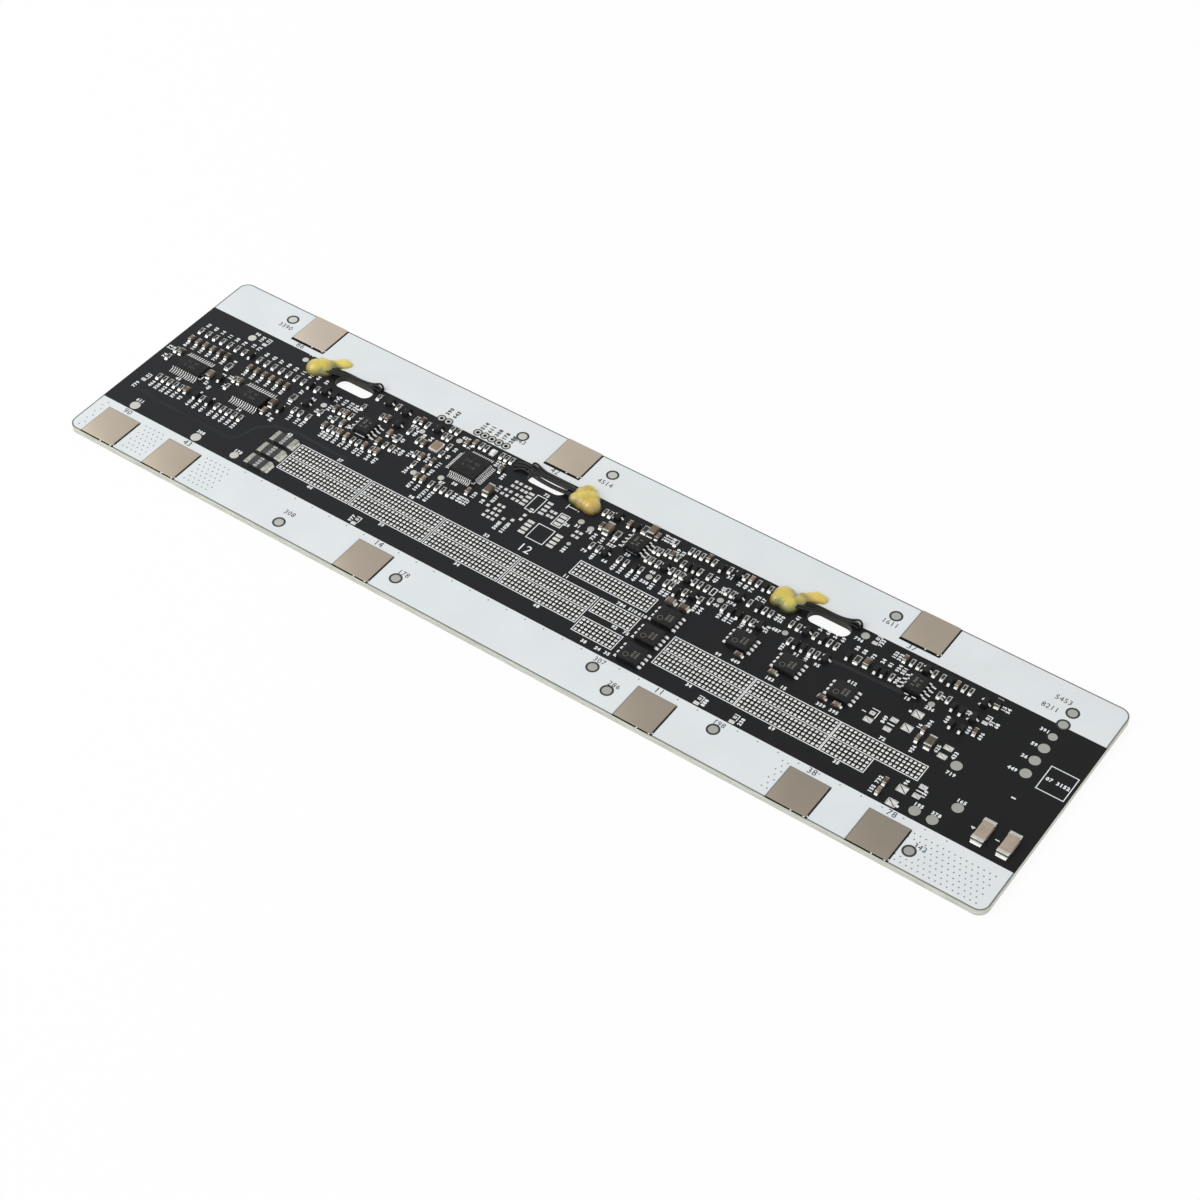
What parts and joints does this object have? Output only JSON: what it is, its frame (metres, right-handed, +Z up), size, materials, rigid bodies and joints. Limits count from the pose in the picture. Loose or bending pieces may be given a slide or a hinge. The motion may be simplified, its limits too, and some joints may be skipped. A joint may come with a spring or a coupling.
{
  "type": "battery management board",
  "caption": "Long circuit board that monitors and protects a row of battery cells, with nickel cell tabs, current buses, shunts, switching chips and glued temperature sensors.",
  "frame": {"origin": "middle of the board's underside", "axes": "+X along the board from its left end to its right end, +Y across it from the near edge to the far edge, +Z up out of the populated face"},
  "size_m": [0.24, 0.0624, 0.004],
  "materials": {
    "board_mask": "semi-gloss black solder mask over woven glass",
    "white_ink": "matt white legend ink",
    "solder": "bright tinned copper squares",
    "nickel": "satin nickel sheet",
    "tin_lead_frame": "matt tin plating",
    "mould_compound": "fine matt black epoxy",
    "tinned_ends": "satin tin with solder",
    "shunt_coat": "dark glossy coat",
    "fuse_ceramic": "tan fired ceramic",
    "crystal_lid": "warm satin metal lid",
    "lamp_lens": "clear white resin",
    "bead_epoxy": "black dipped bead",
    "wire_sleeve": "black enamel sleeve with a sheen",
    "amber_glue": "translucent yellow adhesive",
    "resistor_coat": "black glass coat",
    "capacitor_ceramic": "brown fired ceramic",
    "pad_tin": "dull tinned copper"
  },
  "bodies": {
    "root": {"circuit_board": "board_mask", "near_print_band": "white_ink", "far_print_band": "white_ink", "legend_lines": "white_ink", "left_bus_solder": "solder", "link_solder": "solder", "right_bus_solder": "solder", "cell_tab_1": "nickel", "cell_tab_2": "nickel", "cell_tab_3": "nickel", "cell_tab_4": "nickel", "cell_tab_5": "nickel", "cell_tab_6": "nickel", "cell_tab_7": "nickel", "cell_tab_8": "nickel", "cell_tab_9": "nickel", "monitor_ic_1": "mould_compound", "monitor_ic_2": "mould_compound", "monitor_ic_leads": "tin_lead_frame", "controller_ic": "mould_compound", "controller_ic_leads": "tin_lead_frame", "driver_ic_1": "mould_compound", "driver_ic_2": "mould_compound", "driver_ic_3": "mould_compound", "driver_ic_leads": "tin_lead_frame", "power_mosfet_1": "mould_compound", "power_mosfet_2": "mould_compound", "power_mosfet_3": "mould_compound", "power_mosfet_4": "mould_compound", "power_mosfet_5": "mould_compound", "power_mosfet_6": "mould_compound", "power_mosfet_leads": "tin_lead_frame", "shunt_1": "shunt_coat", "shunt_2": "shunt_coat", "shunt_3": "shunt_coat", "shunt_terminals": "tinned_ends", "fuse_1": "fuse_ceramic", "fuse_2": "fuse_ceramic", "fuse_caps": "tinned_ends", "crystal_can": "crystal_lid", "status_led": "lamp_lens", "sensor_bead_1": "bead_epoxy", "sensor_bead_2": "bead_epoxy", "sensor_bead_3": "bead_epoxy", "sensor_leads_1": "wire_sleeve", "sensor_leads_2": "wire_sleeve", "sensor_leads_3": "wire_sleeve", "sensor_glue_1": "amber_glue", "sensor_glue_2": "amber_glue", "sensor_glue_3": "amber_glue", "chip_resistors": "resistor_coat", "chip_capacitors": "capacitor_ceramic", "chip_ends": "tinned_ends", "small_transistors": "mould_compound", "small_transistor_leads": "tin_lead_frame", "small_diodes": "mould_compound", "small_diode_leads": "tin_lead_frame", "test_pads": "pad_tin", "header_pads": "pad_tin", "bare_pads": "pad_tin"}
  },
  "joints": []
}
